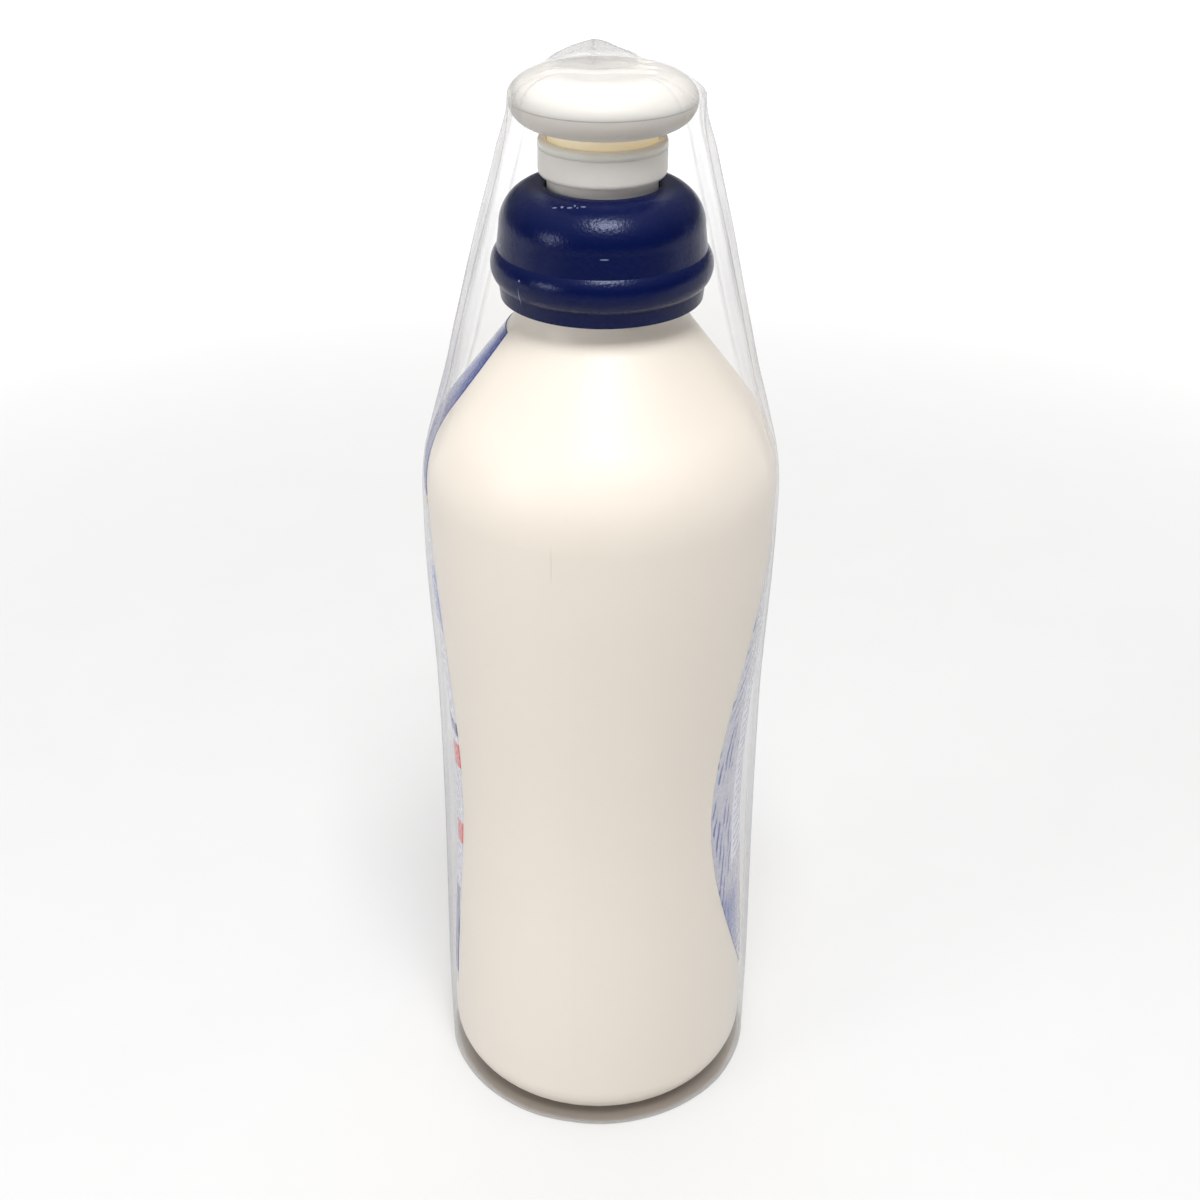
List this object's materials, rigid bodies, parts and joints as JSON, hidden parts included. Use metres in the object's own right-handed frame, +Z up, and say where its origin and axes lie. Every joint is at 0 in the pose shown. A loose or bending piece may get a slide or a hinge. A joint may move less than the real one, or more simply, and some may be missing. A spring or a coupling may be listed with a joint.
{
  "type": "body lotion bottle",
  "caption": "Waisted cream plastic bottle with two side labels, navy domed closure, white mushroom pump head locked down, and a clear film hood over it.",
  "frame": {"origin": "centre of the base ring, on the surface that the bottle stands on", "axes": "+Z up along the bottle's axis, -Y out through the front label"},
  "size_m": [0.0628, 0.0628, 0.2018],
  "materials": {
    "bottle_cream": "satin blow-moulded polyethylene",
    "label_print": "smooth printed label film",
    "closure_navy": "satin moulded polypropylene, lightly scuffed",
    "gasket_foam": "closed-cell foam",
    "natural_plastic": "natural polypropylene",
    "ball_steel": "polished steel",
    "spring_steel": "drawn stainless wire",
    "pump_white": "smooth white polypropylene",
    "seal_white": "soft polyethylene",
    "sleeve_natural": "yellowish natural polypropylene",
    "clear_film": "clear wrinkled film"
  },
  "bodies": {
    "bottle": {"bottle": "bottle_cream", "front_label": "label_print", "back_label": "label_print"},
    "pump": {"pump_housing": "natural_plastic", "neck_gasket": "gasket_foam", "dip_tube": "natural_plastic", "ball_cage": "natural_plastic", "return_spring": "spring_steel", "lock_collar": "pump_white", "stem_wiper": "seal_white"},
    "closure": {"closure": "closure_navy"},
    "ball": {"inlet_ball": "ball_steel"},
    "stem": {"pump_stem": "pump_white", "piston": "seal_white", "piston_rod": "pump_white"},
    "head": {"head_base": "pump_white", "head_cap": "pump_white", "lock_sleeve": "sleeve_natural", "outlet_tube": "pump_white"},
    "film": {"film_hood": "clear_film"}
  },
  "joints": [
    {"name": "pump_lift", "type": "slide", "parent": "bottle", "child": "pump", "axis": [0, 0, 1], "range_m": [0, 0.185]},
    {"name": "closure_turn", "type": "hinge", "parent": "pump", "child": "closure", "pos_m": [0, 0, 0.17], "axis": [0, 0, 1], "continuous": true},
    {"name": "ball_lift", "type": "slide", "parent": "pump", "child": "ball", "axis": [0, 0, 1], "range_m": [0, 0.0015]},
    {"name": "head_rise", "type": "slide", "parent": "pump", "child": "stem", "axis": [0, 0, 1], "range_m": [0, 0.014], "deforming": ["return_spring"]},
    {"name": "head_turn", "type": "hinge", "parent": "stem", "child": "head", "pos_m": [0, 0, 0.19], "axis": [0, 0, 1], "continuous": true},
    {"name": "film_lift", "type": "slide", "parent": "stem", "child": "film", "axis": [0, 0, 1], "range_m": [0, 0.205]}
  ]
}
